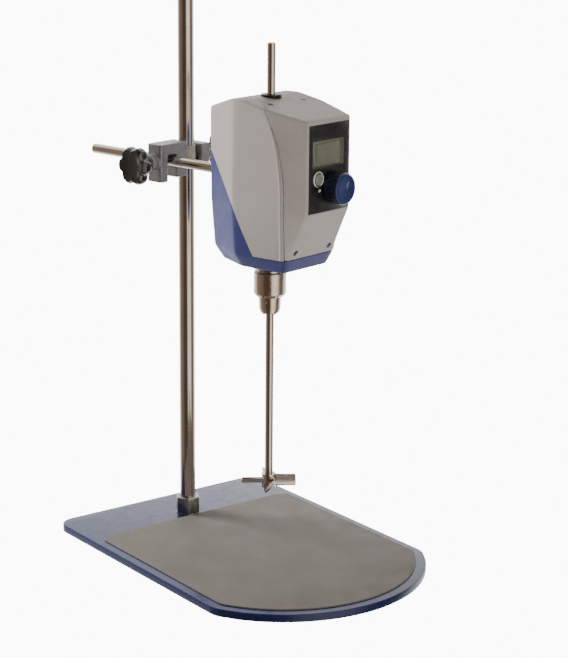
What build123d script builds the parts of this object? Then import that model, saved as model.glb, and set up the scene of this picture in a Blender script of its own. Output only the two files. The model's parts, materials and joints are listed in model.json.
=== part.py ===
"""Digital overhead stirrer on a plate stand: plate, post, boss head, drive head, chuck, shaft and propeller.

Row frame, millimetres: +Z up, +X to the operator's right, +Y away from the operator. The origin is the
middle of the footprint at the resting plane. The drive head has a frame of its own, turned about the
post with the boss head: x to its right, y to its back, z from the support rod's axis.
"""

import math
import os

from build123d import *

# --- driving dimensions -------------------------------------------------------------------------------
FOOT_H = 2.0
FOOT_R = 9.0

PLATE_W = 256.0
PLATE_T = 8.0
PLATE_BACK = 160.0
PLATE_FRONT = -202.0
FRONT_ARC_R = 145.0
PLATE_CORNER_R = 18.0
MAT_T = 1.5
MAT_INSET = 10.0
MAT_BACK = 91.0

POST_R = 8.0
POST_Y = 104.0
POST_TOP = 598.0
SHAFT_Y = -38.0

ROD_Z = 390.0
ROD_R = 5.0
ROD_OFFSET = 28.0
ROD_CHAMFER = 0.8

SHAFT_R = 4.0
SHAFT_TOP = 518.0
SHAFT_BOTTOM = 78.0
PROP_R = 27.0
PROP_Z = 86.0

FIT = 0.08
GAP = 0.3

# --- worked out from them -----------------------------------------------------------------------------
PLATE_TOP = FOOT_H + PLATE_T
REACH = POST_Y - SHAFT_Y
YAW = math.degrees(math.asin(ROD_OFFSET / REACH))
POST_BACK = math.sqrt(REACH**2 - ROD_OFFSET**2)
ROD_SIDE_REACH = (ROD_OFFSET - ROD_R + ROD_CHAMFER) * math.sin(math.radians(YAW))
ROD_REAR = (-PLATE_FRONT - POST_Y + ROD_SIDE_REACH) / math.cos(math.radians(YAW))
HEAD = Location((0, SHAFT_Y, ROD_Z), (0, 0, YAW))
CLAMP = Location((0, POST_Y, ROD_Z), (0, 0, YAW))

os.makedirs("parts", exist_ok=True)


# --- helpers ------------------------------------------------------------------------------------------
def save(name, shape, where=None):
    """Write one sub-part, moved from its own frame to the row frame."""
    if where is not None:
        shape = shape.moved(where)
    solids = shape.solids()
    result = solids[0] if len(solids) == 1 else Compound(children=list(solids))
    export_step(result, f"parts/{name}.step")


def block(x0, x1, y0, y1, z0, z1):
    """Box between six planes."""
    return Pos((x0 + x1) / 2, (y0 + y1) / 2, (z0 + z1) / 2) * Box(x1 - x0, y1 - y0, z1 - z0)


def rod_z(r, z0, z1, x=0.0, y=0.0):
    """Round bar along Z."""
    return Pos(x, y, (z0 + z1) / 2) * Cylinder(r, z1 - z0)


def rod_x(r, x0, x1, y=0.0, z=0.0):
    """Round bar along X."""
    return Pos((x0 + x1) / 2, y, z) * Rot(0, 90, 0) * Cylinder(r, x1 - x0)


def rod_y(r, y0, y1, x=0.0, z=0.0):
    """Round bar along Y."""
    return Pos(x, (y0 + y1) / 2, z) * Rot(90, 0, 0) * Cylinder(r, y1 - y0)


def ring_z(r_out, r_in, z0, z1, x=0.0, y=0.0):
    """Ring about Z."""
    return rod_z(r_out, z0, z1, x, y) - rod_z(r_in, z0 - 1, z1 + 1, x, y)


def around_z(shape, count, start=0.0):
    """Copies of a shape spaced evenly about Z."""
    return [Rot(0, 0, start + i * 360 / count) * shape for i in range(count)]


def together(shapes):
    """Separate solids as one group."""
    return Compound(children=[s for shape in shapes for s in shape.solids()])


def turned(points, closed=True):
    """Solid of revolution about Z from (radius, height) points."""
    return revolve(Plane.XZ * make_face(Polyline(*points, close=closed)), Axis.Z)


# --- stand --------------------------------------------------------------------------------------------
def plate_outline(inset, back):
    """Plate face with straight sides and back and a bowed front, drawn in by inset."""
    half = PLATE_W / 2 - inset
    arc_r = FRONT_ARC_R - inset
    front = PLATE_FRONT + inset
    side_end = front + arc_r - math.sqrt(arc_r**2 - half**2)
    edges = [
        Line((-half, side_end), (-half, back)),
        Line((-half, back), (half, back)),
        Line((half, back), (half, side_end)),
        ThreePointArc((half, side_end), (0, front), (-half, side_end)),
    ]
    face = make_face(edges)
    return fillet(face.vertices(), PLATE_CORNER_R - inset / 2)


def foot_places():
    half = PLATE_W / 2 - 26
    return [(x, y) for x in (-half, half) for y in (PLATE_BACK - 24, PLATE_FRONT + 96)]


def make_stand():
    plate = Pos(0, 0, FOOT_H) * extrude(plate_outline(0, PLATE_BACK), PLATE_T)
    rims = [e for e in plate.edges() if abs(e.center().Z - PLATE_TOP) < 0.01]
    plate = chamfer(rims, 0.8)
    bolt_hole = rod_z(5.2, FOOT_H - 1, PLATE_TOP + 1, y=POST_Y)
    bolt_head_room = rod_z(10.5, FOOT_H - 1, FOOT_H + 5.2, y=POST_Y)
    stem_holes = [rod_z(3.1, FOOT_H - 1, FOOT_H + 4, x, y) for x, y in foot_places()]
    save("base_plate", plate - bolt_hole - bolt_head_room - stem_holes)

    mat = Pos(0, 0, PLATE_TOP) * extrude(plate_outline(MAT_INSET, MAT_BACK), MAT_T)
    save("base_mat", mat)

    feet = [rod_z(FOOT_R, 0, FOOT_H, x, y) + rod_z(3.0, FOOT_H, FOOT_H + 3.8, x, y) for x, y in foot_places()]
    save("plate_feet", together(feet))

    washer_top = PLATE_TOP + 1.6
    nut_top = washer_top + 17.0
    save("post_washer", ring_z(12.0, 5.3, PLATE_TOP, washer_top, y=POST_Y))

    hexagon = extrude(RegularPolygon(11.5, 6, major_radius=False), nut_top - washer_top)
    nut = Pos(0, POST_Y, washer_top) * hexagon - rod_z(POST_R + FIT, washer_top + 4, nut_top + 1, y=POST_Y)
    nut = nut - rod_z(5.3, washer_top - 1, washer_top + 5, y=POST_Y)
    top_edges = [e for e in nut.edges() if abs(e.center().Z - nut_top) < 0.01 and e.length < 20]
    save("post_nut", chamfer(top_edges, 1.0))

    post = rod_z(POST_R, washer_top + 4.1, POST_TOP, y=POST_Y)
    ends = [e for e in post.edges() if e.geom_type == GeomType.CIRCLE]
    post = chamfer(ends, 0.8)
    post = post - rod_z(5.1, washer_top, washer_top + 32, y=POST_Y)
    post = post - rod_z(5.5, POST_TOP - 14, POST_TOP + 1, y=POST_Y)
    save("post", post)

    bolt = rod_z(5.0, FOOT_H + 5, washer_top + 30, y=POST_Y) + rod_z(10.0, FOOT_H + 0.4, FOOT_H + 5, y=POST_Y)
    socket = Pos(0, POST_Y, FOOT_H + 0.4) * extrude(RegularPolygon(3.0, 6), 3.0)
    save("post_bolt", bolt - socket)

    cap = rod_z(POST_R - 0.2, POST_TOP, POST_TOP + 2.0, y=POST_Y)
    cap = fillet([e for e in cap.edges() if e.center().Z > POST_TOP + 1], 1.2)
    save("post_cap", cap + rod_z(5.4, POST_TOP - 12, POST_TOP, y=POST_Y))


# --- boss head ----------------------------------------------------------------------------------------
# Its own frame: origin on the post's axis at the rod's height, x across post and rod, y along the rod.
ROD_X = -ROD_OFFSET
JAW_HALF = 10.0
ARM_OUT = -46.0
ARM_IN = -36.0
WEB_IN = -24.0
BRIDGE_Z = 7.0
BODY_TOP = 18.0
POST_ARM_IN = 12.0
POST_ARM_OUT = 24.0
LINER_R = POST_R + 1.2
SCREW_R = 4.0
PAD_R = 4.6
PAD_T = 3.0
KNOB_R = 19.5
KNOB_T = 12.0


def make_boss_head():
    arm = block(ARM_OUT, ARM_IN, -JAW_HALF, JAW_HALF, -20, BODY_TOP)
    bridge = block(ARM_IN, WEB_IN, -JAW_HALF, JAW_HALF, BRIDGE_Z, BODY_TOP)
    web = block(WEB_IN, -LINER_R + 1.5, -JAW_HALF, JAW_HALF, -17, BODY_TOP)
    jaw = block(-20, POST_ARM_OUT, -JAW_HALF, 21, -12, 13)
    body = arm + bridge + web + jaw
    uprights = [e for e in body.edges() if abs(e.length - 38) < 0.1 and e.center().X < ARM_OUT + 0.1]
    body = fillet(uprights, 3.0)
    body = body + rod_x(8.0, ARM_OUT - 8, ARM_OUT) + rod_x(8.0, POST_ARM_OUT, POST_ARM_OUT + 6)
    post_way = rod_z(LINER_R + GAP, -40, 40) + block(0, POST_ARM_IN, -30, LINER_R + GAP, -40, 40)
    mouth = block(-(POST_R + 0.6), 1, -30, 0, -40, 40)
    groove = Pos(ROD_X, 0, 0) * Rot(0, 45, 0) * Box(2 * (ROD_R + GAP), 60, 2 * (ROD_R + GAP))
    body = body - post_way - mouth - groove
    rod_screw_way = rod_x(SCREW_R + FIT, ARM_OUT - 9, ARM_IN + 1) + rod_x(PAD_R + GAP, ARM_IN - 5.2, ARM_IN + 1)
    post_screw_way = rod_x(SCREW_R + FIT, 11, POST_ARM_OUT + 7) + rod_x(PAD_R + GAP, 11, POST_ARM_IN + 4.8)
    save("boss_head", body - rod_screw_way - post_screw_way, CLAMP)

    save("post_liner", ring_z(LINER_R, POST_R + FIT, -11, 12), CLAMP)


def clamp_knob():
    """Scalloped hand knob on the z axis: inner face at 0, outer face at KNOB_T, hub towards -z."""
    disc = rod_z(KNOB_R, 0, KNOB_T)
    scallops = around_z(rod_z(5.5, -1, KNOB_T + 1, KNOB_R + 3.2), 6)
    disc = disc - scallops
    rims = [e for e in disc.edges() if abs(e.center().Z - KNOB_T) < 0.01]
    disc = chamfer(rims, 1.2)
    return disc + rod_z(9.0, -5, 0) - rod_z(SCREW_R, -6, 6)


def make_clamp_screw(name, tip, seat, towards):
    """Pad, screw and knob that press along x: tip is the pad's pressing face, towards is -1 or 1."""
    pad_back = tip + towards * PAD_T
    near, far = sorted((tip, pad_back))
    save(f"{name}_pad", rod_x(PAD_R, near, far), CLAMP)
    start = pad_back + towards * 0.2
    end = seat + towards * 8.0
    low, high = sorted((start, end))
    save(f"{name}_screw", rod_x(SCREW_R, low, high), CLAMP)
    turn = Rot(0, 90 * towards, 0)
    save(f"{name}_knob", Pos(seat + towards * 2.0, 0, 0) * turn * clamp_knob(), CLAMP)


def make_clamp():
    make_boss_head()
    make_clamp_screw("rod", ROD_X - ROD_R - GAP, ARM_OUT - 18.0, -1)
    make_clamp_screw("post", LINER_R + GAP, POST_ARM_OUT + 20.0, 1)
    length_front = POST_BACK - SOCKET_END
    rod = rod_y(ROD_R, -length_front, ROD_REAR, x=ROD_X)
    rod = chamfer([e for e in rod.edges() if e.geom_type == GeomType.CIRCLE], ROD_CHAMFER)
    save("support_rod", rod, CLAMP)


# --- drive head: outer form ---------------------------------------------------------------------------
FACE_Y = -72.0
FACE_HALF = 30.5
BAND_FACE_Y = -50.0
BAND_FACE_HALF = 32.0
SEAM_FRONT = -53.5
SEAM_SWEEP = 30.0
HEAD_TOP = 78.0
SLOPE_TOP = -23.0
BAND_TOP = -69.0
HEAD_BOTTOM = -82.0
FACE_TOP = 64.0
BACK_Y = 54.0
BACK_TOP = 66.0
TONGUE_HALF = 17.0
TONGUE_BACK = 15.0
WALL = 2.5

# height, face half-width, face y, seam half-width, side half-width, side corner y, back half-width, back y
SECTIONS = (
    (HEAD_BOTTOM, 28.0, -45.0, 31.0, 34.0, 6.0, 19.0, 43.0),
    (BAND_TOP, BAND_FACE_HALF, BAND_FACE_Y, 36.0, 41.5, 8.0, 23.0, 52.0),
    (SLOPE_TOP, FACE_HALF, FACE_Y, 43.0, 43.5, 10.0, 26.0, BACK_Y),
    (28.0, FACE_HALF, FACE_Y, 43.0, 43.0, 10.0, 26.5, BACK_Y),
    (59.0, FACE_HALF, FACE_Y, 42.5, 42.0, 10.0, 27.0, BACK_Y),
    (HEAD_TOP + 4, FACE_HALF, FACE_Y, 41.0, 40.0, 10.0, 27.0, 52.0),
)


def seam_y(z):
    """The side seam runs straight up the front and sweeps back towards the top."""
    rise = max(0.0, (z - SLOPE_TOP) / (HEAD_TOP - SLOPE_TOP))
    return SEAM_FRONT + SEAM_SWEEP * rise**2.7


def section(z, face_half, face_y, seam_half, side_half, side_y, back_half, back_y, inset):
    """One level of the housing: an eight-sided outline, drawn in by inset."""
    front_of_side = max(seam_y(z), face_y + 1.0)
    right = [(face_half, face_y), (seam_half, front_of_side), (side_half, side_y), (back_half, back_y)]
    left = [(-x, y) for x, y in reversed(right)]
    face = make_face(Polyline(*right, *left, close=True))
    if inset:
        face = offset(face, -inset, kind=Kind.INTERSECTION)
    return Pos(0, 0, z) * face


def head_form(inset=0.0):
    """Closed housing form, or the room inside it when inset is the wall's thickness."""
    body = loft([section(*row, inset) for row in SECTIONS], ruled=True)
    drop = inset
    side_view = Polyline(
        (-90, HEAD_BOTTOM + drop),
        (-90, FACE_TOP - 4 - drop),
        (FACE_Y, FACE_TOP - drop),
        (0, HEAD_TOP - drop),
        (12, HEAD_TOP - drop),
        (BACK_Y, BACK_TOP - drop),
        (80, BACK_TOP - 8 - drop),
        (80, HEAD_BOTTOM + drop),
        close=True,
    )
    cut = extrude(Plane.YZ * make_face(side_view), 60, both=True)
    return body & cut


def in_front_of_seam(shift):
    """Ahead of the side seam and above the blue band, with the raked face and the tongue on top, drawn in by shift."""
    levels = (HEAD_TOP + 6, 64.0, 48.0, 30.0, 8.0, SLOPE_TOP)
    line = [(seam_y(z) - shift, z) for z in levels]
    points = [(-95, HEAD_TOP + 6), *line, (BAND_FACE_Y + 1 - shift, BAND_TOP + shift), (-95, BAND_TOP + shift)]
    ahead = extrude(Plane.YZ * make_face(Polyline(*points, close=True)), 60, both=True)
    raked = BAND_FACE_HALF + 1 - shift
    ahead = ahead + block(-raked, raked, -95, BAND_FACE_Y + 10, BAND_TOP + shift, SLOPE_TOP)
    half = TONGUE_HALF - shift
    tongue = [(37 - shift, -32.0), (37 - shift, -27.0 - shift), (half, 2.0 - shift), (half, TONGUE_BACK - shift)]
    tongue += [(-x, y) for x, y in reversed(tongue)]
    tongue_face = Pos(0, 0, FACE_TOP - 2) * make_face(Polyline(*tongue, close=True))
    return ahead + extrude(tongue_face, HEAD_TOP - FACE_TOP + 10)


def blue_zone(shift):
    """Band along the bottom and the raked corner up the back, grown by shift."""
    points = [
        (-95, HEAD_BOTTOM - 20),
        (-95, BAND_TOP + shift),
        (-13 - shift, BAND_TOP + shift),
        (11 - shift, -22.0 + shift),
        (BACK_Y - 1, 25.0 + shift),
        (90, 62.0 + shift),
        (90, HEAD_BOTTOM - 20),
    ]
    return extrude(Plane.YZ * make_face(Polyline(*points, close=True)), 60, both=True)


# --- drive head: fittings -----------------------------------------------------------------------------
SOCKET_START = 45.0
SOCKET_END = 48.5
SOCKET_REAR = 64.0
SOCKET_R = 10.0
INLET_Z = -46.0
ROCKER_Z = -20.5

PANEL_HALF = 28.3
PANEL_LOW = -22.6
PANEL_HIGH = 59.7
PANEL_T = 2.2
WINDOW = (-23.5, 21.7, 19.6, 44.6)
LCD = (-15.0, 17.0, 23.0, 41.0)
BUTTON = (-15.4, 9.0)
BUTTON_R = 5.4
LED = (-13.4, -1.6)
KNOB = (5.2, -0.8)
SPEED_KNOB_R = 15.5
COVER_SCREWS_TOP = (23.0, -20.0)
COVER_SCREWS_LOW = (24.0, -62.0)

SPINDLE_R = 7.5
SPINDLE_TOP = 73.0
LOWER_PLATE = (-76.0, -64.0)
UPPER_PLATE = (40.0, 52.0)
BEARING_R = 15.0
MOTOR_Y = 26.5
MOTOR_R = 16.0
MOTOR_Z = (-44.0, 18.0)
PULLEY_Z = (24.0, 34.0)
SPINDLE_PULLEY_R = 16.8
MOTOR_PULLEY_R = 7.0


def slope_y(z):
    """Front face line below the panel, where it rakes back towards the band."""
    return FACE_Y + (SLOPE_TOP - z) * (BAND_FACE_Y - FACE_Y) / (SLOPE_TOP - BAND_TOP)


def top_z(y):
    """Top face line ahead of the spindle."""
    return HEAD_TOP + y * (HEAD_TOP - FACE_TOP) / -FACE_Y


SLOPE_TILT = math.degrees(math.atan2(BAND_FACE_Y - FACE_Y, SLOPE_TOP - BAND_TOP))
TOP_TILT = math.degrees(math.atan2(HEAD_TOP - FACE_TOP, -FACE_Y))


def cover_screw_places():
    """Four locations whose z axis points out of the cover."""
    x_top, y_top = COVER_SCREWS_TOP
    x_low, z_low = COVER_SCREWS_LOW
    places = [Pos(side * x_top, y_top, top_z(y_top)) * Rot(TOP_TILT, 0, 0) for side in (-1, 1)]
    places += [Pos(side * x_low, slope_y(z_low), z_low) * Rot(90 + SLOPE_TILT, 0, 0) for side in (-1, 1)]
    return places


def make_housing():
    shell = head_form() - head_form(WALL)
    top_hole = rod_z(9.5, HEAD_TOP - 10, HEAD_TOP + 10)
    screw_holes = [place * rod_z(2.9, -1.6, 2) for place in cover_screw_places()]
    screw_holes += [place * rod_z(1.6, -6, 2) for place in cover_screw_places()]

    opening = block(-PANEL_HALF + 2, PANEL_HALF - 2, FACE_Y - 1, FACE_Y + 6, PANEL_LOW + 2, PANEL_HIGH - 2)
    recess = block(-PANEL_HALF - 0.1, PANEL_HALF + 0.1, FACE_Y - 1, FACE_Y + 1.5, PANEL_LOW - 0.1, PANEL_HIGH + 0.1)
    front = (shell & in_front_of_seam(0.4)) - opening - recess - screw_holes - top_hole
    save("front_cover", front.solids().sort_by(SortBy.VOLUME)[-1], HEAD)

    rear = shell - in_front_of_seam(0) - blue_zone(0) - top_hole
    save("side_cover", rear.solids().sort_by(SortBy.VOLUME)[-1], HEAD)

    base = (shell & blue_zone(-0.4)) - rod_z(20.0, HEAD_BOTTOM - 5, HEAD_BOTTOM + 5)
    base = base - rod_y(SOCKET_R + GAP, BACK_Y - 10, BACK_Y + 10)
    base = base - block(-13.3, 13.3, BACK_Y - 12, BACK_Y + 9, INLET_Z - 9.8, INLET_Z + 9.8)
    base = base - block(-10.2, 10.2, BACK_Y - 12, BACK_Y + 9, ROCKER_Z - 6.7, ROCKER_Z + 6.7)
    save("base_housing", base.solids().sort_by(SortBy.VOLUME)[-1], HEAD)

    screws = [place * (rod_z(2.7, -1.5, 0.1) + rod_z(1.5, -5.5, -1.5)) for place in cover_screw_places()]
    save("cover_screws", together(screws), HEAD)

    ring = turned([(SHAFT_R + 0.5, -3.0), (9.3, -3.0), (9.3, 0.2), (10.2, 0.2), (9.8, 1.8), (SHAFT_R + 0.5, 1.8)])
    save("shaft_guard_ring", Pos(0, 0, HEAD_TOP) * ring, HEAD)

    collar = turned([(8.2, -88.5), (16.5, -88.5), (19.5, -82.0), (19.5, -77.0), (8.2, -77.0)])
    save("bearing_collar", collar, HEAD)


def make_front_panel():
    x0, x1, z0, z1 = WINDOW
    button_x, button_z = BUTTON
    led_x, led_z = LED
    knob_x, knob_z = KNOB
    outer = FACE_Y - 0.6
    inner = outer + PANEL_T - 0.1
    panel = block(-PANEL_HALF, PANEL_HALF, outer, inner, PANEL_LOW, PANEL_HIGH)
    panel = panel - block(x0, x1, outer - 1, inner + 1, z0, z1)
    panel = panel - rod_y(BUTTON_R + GAP, outer - 1, inner + 1, button_x, button_z)
    panel = panel - rod_y(1.7, outer - 1, inner + 1, led_x, led_z)
    panel = panel - rod_y(3.4, outer - 1, inner + 1, knob_x, knob_z)
    save("front_panel", panel, HEAD)

    window = block(x0 + 0.1, x1 - 0.1, outer + 0.4, inner - 0.1, z0 + 0.1, z1 - 0.1)
    save("display_window", window, HEAD)
    bezel = ring_z(BUTTON_R + 2.2, BUTTON_R + 0.4, 0, 0.8)
    save("button_bezel", Pos(button_x, outer, button_z) * Rot(90, 0, 0) * bezel, HEAD)
    save("led_lens", rod_y(1.5, outer - 0.5, inner + 2, led_x, led_z), HEAD)

    board_front = FACE_Y + 12.0
    board = block(-26, 26, board_front, board_front + 1.6, PANEL_LOW + 4, PANEL_HIGH - 6)
    save("control_board", board, HEAD)
    lx0, lx1, lz0, lz1 = LCD
    display = block(lx0, lx1, inner + 0.4, board_front - 0.2, lz0, lz1)
    display = display + block(x0 + 1.5, x1 - 1.5, inner + 2, board_front, z0 + 1, z1 - 1)
    save("lcd_module", display, HEAD)
    save("button_switch", block(button_x - 3, button_x + 3, board_front - 4.5, board_front, button_z - 3, button_z + 3), HEAD)
    encoder = block(knob_x - 6, knob_x + 6, board_front - 6.5, board_front, knob_z - 6.5, knob_z + 6.5)
    save("speed_encoder", encoder - rod_y(3.0 + FIT, board_front - 8, board_front - 1.5, knob_x, knob_z), HEAD)

    cap_back = board_front - 4.8
    button = rod_y(BUTTON_R, outer - 1.8, outer + 1.0, button_x, button_z)
    button = button + rod_y(2.0, outer + 1.0, cap_back - 1.3, button_x, button_z)
    save("start_button", button, HEAD)

    core_r = SPEED_KNOB_R - 0.6
    knob = turned([(0, 0), (core_r, 0), (core_r, 14.4), (core_r - 1.4, 15.6), (0, 15.6)])
    ribs = around_z(block(core_r - 1, SPEED_KNOB_R, -0.7, 0.7, 0.8, 13.6), 24)
    knob = knob + ribs - rod_z(3.0, -1, 10)
    save("speed_knob", Pos(knob_x, outer - 0.8, knob_z) * Rot(90, 0, 0) * knob, HEAD)
    save("speed_knob_shaft", rod_y(3.0, outer - 10.0, board_front - 1.8, knob_x, knob_z), HEAD)


def make_drive():
    low0, low1 = LOWER_PLATE
    up0, up1 = UPPER_PLATE
    wall_y = SOCKET_START
    lower = block(-26, 26, -24, 18, low0, low1) + block(-16, 16, 18, wall_y, low0 + 4, low1)
    upper = block(-22, 22, -22, wall_y, up0, up1)
    wall = block(-18, 18, wall_y - 2.2, wall_y + 3.2, low0 + 6, up1)
    chassis = lower + upper + wall + rod_y(SOCKET_R, wall_y, SOCKET_REAR)
    chassis = chassis - rod_y(ROD_R + FIT, SOCKET_END - 0.5, SOCKET_REAR + 1)
    chassis = chassis - rod_z(BEARING_R + 0.05, low0 + 2, low1 + 1) - rod_z(10.0, low0 - 1, low1)
    chassis = chassis - rod_z(BEARING_R + 0.05, up0 - 1, up1 - 2) - rod_z(10.0, up0, up1 + 1)
    chassis = chassis - block(-13.5, 13.5, wall_y - 4, wall_y + 6, INLET_Z - 10, INLET_Z + 10)
    chassis = chassis - block(-10.4, 10.4, wall_y - 4, wall_y + 6, ROCKER_Z - 7, ROCKER_Z + 7)
    save("chassis", chassis, HEAD)

    bearing = ring_z(BEARING_R, SPINDLE_R + FIT, 0, 9.5)
    groove = ring_z(13.0, 9.6, -1, 1.0)
    bearing = bearing - groove - Pos(0, 0, 9.5) * groove
    save("lower_bearing", Pos(0, 0, low0 + 2) * bearing, HEAD)
    save("upper_bearing", Pos(0, 0, up0 + 0.4) * bearing, HEAD)

    spindle = ring_z(SPINDLE_R, SHAFT_R + 0.3, -112.0, SPINDLE_TOP)
    save("spindle", spindle, HEAD)

    pull0, pull1 = PULLEY_Z
    crown = [(SPINDLE_R + 0.02, pull0), (18.2, pull0), (18.2, pull0 + 1), (SPINDLE_PULLEY_R, pull0 + 1)]
    crown += [(SPINDLE_PULLEY_R, pull1 - 1), (18.2, pull1 - 1), (18.2, pull1), (SPINDLE_R + 0.02, pull1)]
    save("spindle_pulley", turned(crown), HEAD)
    save("motor_pulley", ring_z(MOTOR_PULLEY_R, 2.5, pull0, pull1, y=MOTOR_Y), HEAD)
    save("drive_belt", make_belt(pull0 + 1.6, pull1 - 1.6), HEAD)

    motor0, motor1 = MOTOR_Z
    can = rod_z(MOTOR_R, motor0, motor1, y=MOTOR_Y)
    can = chamfer([e for e in can.edges() if e.geom_type == GeomType.CIRCLE], 1.0)
    save("motor", can - rod_z(2.5 + FIT, motor1 - 12, motor1 + 1, y=MOTOR_Y), HEAD)
    save("motor_shaft", rod_z(2.5, motor1 - 11, pull1 + 1, y=MOTOR_Y), HEAD)
    bracket = block(-17, 17, MOTOR_Y - 14, wall_y - 2.2, motor1, motor1 + 2.5)
    save("motor_bracket", bracket - rod_z(5.0, motor1 - 1, motor1 + 4, y=MOTOR_Y), HEAD)

    board = block(-24, 24, -36, -34.4, -58, 14)
    parts = block(-20, -4, -48, -36, -50, -26) + rod_y(7.0, -50, -36, 10, -34) + block(-18, 18, -44, -36, -12, 6)
    save("power_board", board + parts, HEAD)

    inlet = block(-13, 13, wall_y - 1.8, BACK_Y + 2.0, INLET_Z - 9.5, INLET_Z + 9.5)
    inlet = inlet + block(-16, 16, BACK_Y + 0.4, BACK_Y + 2.0, INLET_Z - 11.5, INLET_Z + 11.5)
    inlet = inlet - block(-10.5, 10.5, BACK_Y - 9, BACK_Y + 3, INLET_Z - 6.5, INLET_Z + 6.5)
    pins = [block(x - 1, x + 1, BACK_Y - 10, BACK_Y - 1, INLET_Z - 2, INLET_Z + 2) for x in (-6, 0, 6)]
    save("mains_inlet", inlet + pins, HEAD)
    frame = block(-10, 10, wall_y - 1.8, BACK_Y + 1.4, ROCKER_Z - 6.5, ROCKER_Z + 6.5)
    save("switch_frame", frame - block(-8, 8, wall_y - 0.4, BACK_Y + 2, ROCKER_Z - 5, ROCKER_Z + 5), HEAD)
    rocker_y = BACK_Y - 1.5
    rocker = block(-7.6, 7.6, rocker_y - 2, rocker_y + 1.5, ROCKER_Z - 4.4, ROCKER_Z + 4.4)
    nose = Pos(-3.6, rocker_y + 2.0, ROCKER_Z) * Rot(0, 0, 12) * Box(7.4, 3.0, 8.8)
    save("power_rocker", rocker + nose, HEAD)


def make_belt(z0, z1):
    """Flat belt round both pulleys: the outline tangent to two circles, less the same one drawn in."""

    def loop(grow):
        big = SPINDLE_PULLEY_R + grow
        small = MOTOR_PULLEY_R + grow
        lean = math.asin((big - small) / MOTOR_Y)
        c, s = math.cos(lean), math.sin(lean)
        right_big = (big * c, big * s)
        right_small = (small * c, MOTOR_Y + small * s)
        left_small = (-small * c, MOTOR_Y + small * s)
        left_big = (-big * c, big * s)
        edges = [
            Line(right_big, right_small),
            ThreePointArc(right_small, (0, MOTOR_Y + small), left_small),
            Line(left_small, left_big),
            ThreePointArc(left_big, (0, -big), right_big),
        ]
        return Pos(0, 0, z0) * extrude(make_face(edges), z1 - z0)

    return loop(1.5) - loop(GAP)


# --- chuck, shaft and propeller -----------------------------------------------------------------------
SLEEVE_R = 15.6
SLEEVE = (-116.0, -91.0)
NOSE_R = 10.8
NOSE_END = -132.0
CORE_TOP = -89.5
JAW_R = 2.0
JAW_LEAN = 8.0
JAW_LENGTH = 12.5
JAW_TRAVEL = 3.5
JAW_COUNT = 3


def jaw_bar(r, back, reach):
    """Bar beside the shaft that leans outwards as it rises, from back below its foot to reach above it."""
    low = NOSE_END - 1.0
    return Pos(SHAFT_R + 1.4, 0, low) * Rot(0, JAW_LEAN, 0) * Pos(0, 0, (reach + back) / 2) * Cylinder(r, reach - back)


def make_chuck():
    sleeve0, sleeve1 = SLEEVE
    core = turned(
        [
            (SHAFT_R + 0.5, NOSE_END),
            (9.2, NOSE_END),
            (NOSE_R - 0.4, NOSE_END + 4),
            (NOSE_R, sleeve0 - 0.4),
            (NOSE_R, sleeve1),
            (13.5, sleeve1),
            (13.5, CORE_TOP),
            (SHAFT_R + 0.5, CORE_TOP),
        ]
    )
    core = core - rod_z(SPINDLE_R + 0.03, -112.1, CORE_TOP + 1)
    jaw_ways = around_z(jaw_bar(JAW_R + GAP, -6, JAW_LENGTH + JAW_TRAVEL + 0.5), JAW_COUNT, 30)
    key_holes = around_z(rod_x(1.9, 7.5, 14, z=NOSE_END + 11.5), JAW_COUNT, 90)
    save("chuck_body", core - jaw_ways - key_holes, HEAD)

    sleeve = turned(
        [
            (NOSE_R + FIT, sleeve0),
            (13.4, sleeve0),
            (SLEEVE_R, sleeve0 + 2.4),
            (SLEEVE_R, sleeve1 - 1.0),
            (SLEEVE_R - 1.0, sleeve1 - 0.1),
            (NOSE_R + FIT, sleeve1 - 0.1),
        ]
    )
    teeth = around_z(Pos(SLEEVE_R - 0.6, 0, sleeve0 + 0.2) * Rot(0, 42, 0) * Box(1.2, 1.3, 5.0), 24)
    save("chuck_sleeve", sleeve - teeth, HEAD)

    clearance = rod_z(SHAFT_R + 0.15, NOSE_END - 30, CORE_TOP)
    for index, jaw in enumerate(around_z(jaw_bar(JAW_R, -0.6, JAW_LENGTH), JAW_COUNT, 30)):
        save(f"chuck_jaw_{index + 1}", jaw - clearance, HEAD)

    shaft = rod_z(SHAFT_R, SHAFT_BOTTOM - ROD_Z, SHAFT_TOP - ROD_Z)
    shaft = chamfer([e for e in shaft.edges() if e.geom_type == GeomType.CIRCLE], 0.6)
    save("stirring_shaft", shaft, HEAD)

    hub = ring_z(7.0, SHAFT_R + 0.02, -7, 7)
    blade = Pos((PROP_R + 5) / 2, 0, 0) * Rot(38, 0, 0) * Box(PROP_R - 5, 13.0, 1.6)
    tip = rod_z(PROP_R, -20, 20)
    blades = [Rot(0, 0, 45 + 90 * i) * (blade & tip) for i in range(4)]
    propeller = (hub + blades) - rod_z(SHAFT_R + 0.02, -20, 20) - rod_x(1.55, 0, 9, z=4.8)
    save("propeller", Pos(0, 0, PROP_Z - ROD_Z) * propeller, HEAD)
    save("propeller_screw", Pos(0, 0, PROP_Z - ROD_Z) * rod_x(1.5, SHAFT_R + 0.05, 6.8, z=4.8), HEAD)


make_stand()
make_clamp()
make_housing()
make_front_panel()
make_drive()
make_chuck()
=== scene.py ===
"""Digital overhead stirrer on a plate stand: how it looks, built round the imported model.

Everything is in metres in the row frame: +Z up, +X to the operator's right, +Y away from the operator.
Shapes are worked out in millimetres in the frame of the part that they belong to, and then placed.
"""

import json
import math

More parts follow.
